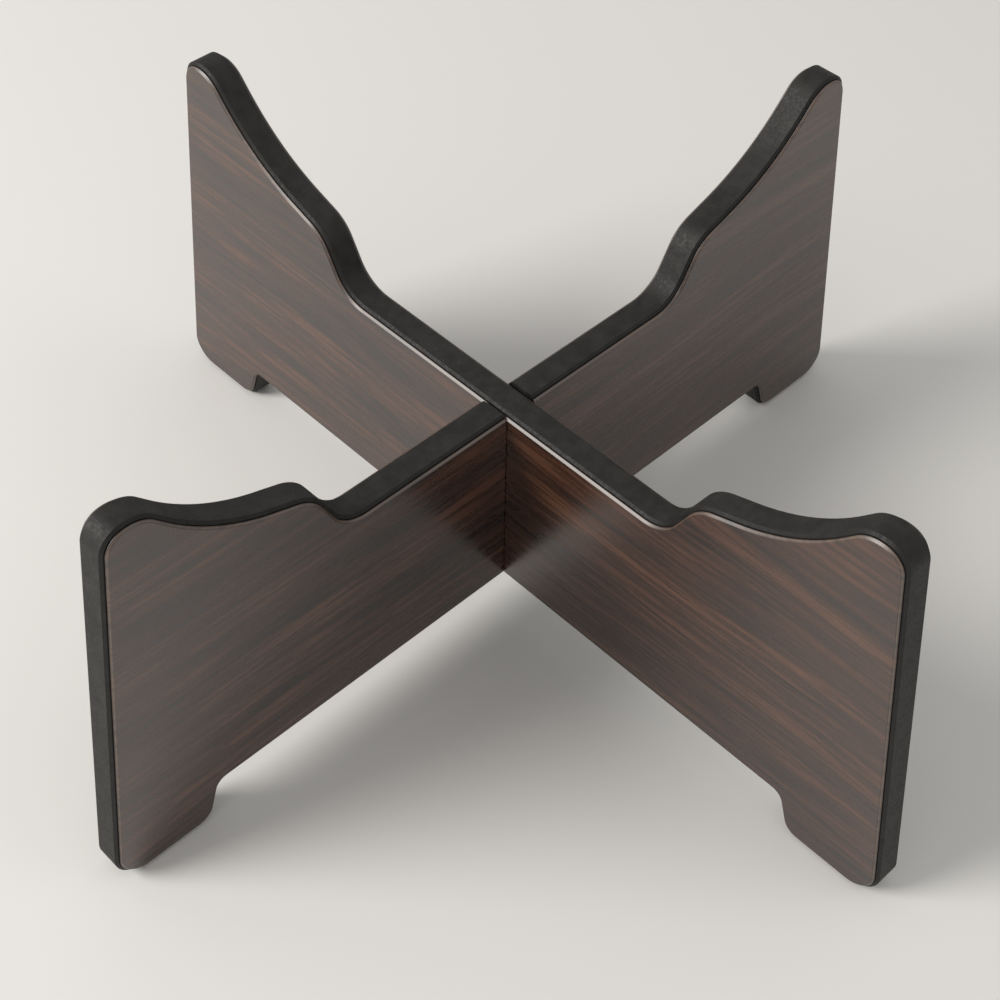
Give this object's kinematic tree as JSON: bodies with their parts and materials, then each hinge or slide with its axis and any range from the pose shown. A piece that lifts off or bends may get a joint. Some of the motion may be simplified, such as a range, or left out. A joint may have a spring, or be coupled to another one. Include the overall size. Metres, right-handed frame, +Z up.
{
  "type": "tongue drum stand",
  "caption": "Knock-down stand of two cross-lapped boards with stepped, curved arms that cradle a round steel tongue drum.",
  "frame": {"origin": "on the floor, on the vertical axis where the two boards cross", "axes": "+Z up; the lower board runs along Y and the upper board along X"},
  "size_m": [0.34, 0.34, 0.1482],
  "materials": {
    "core": "matte black, fine grained",
    "laminate": "satin dark red-brown wood grain, along the board"
  },
  "bodies": {
    "lower_board": {"lower_board_core": "core", "lower_board_laminate_front": "laminate", "lower_board_laminate_back": "laminate"},
    "upper_board": {"upper_board_core": "core", "upper_board_laminate_front": "laminate", "upper_board_laminate_back": "laminate"}
  },
  "joints": [
    {"name": "lift_off", "type": "slide", "parent": "lower_board", "child": "upper_board", "axis": [0, 0, 1], "range_m": [0, 0.085]}
  ]
}
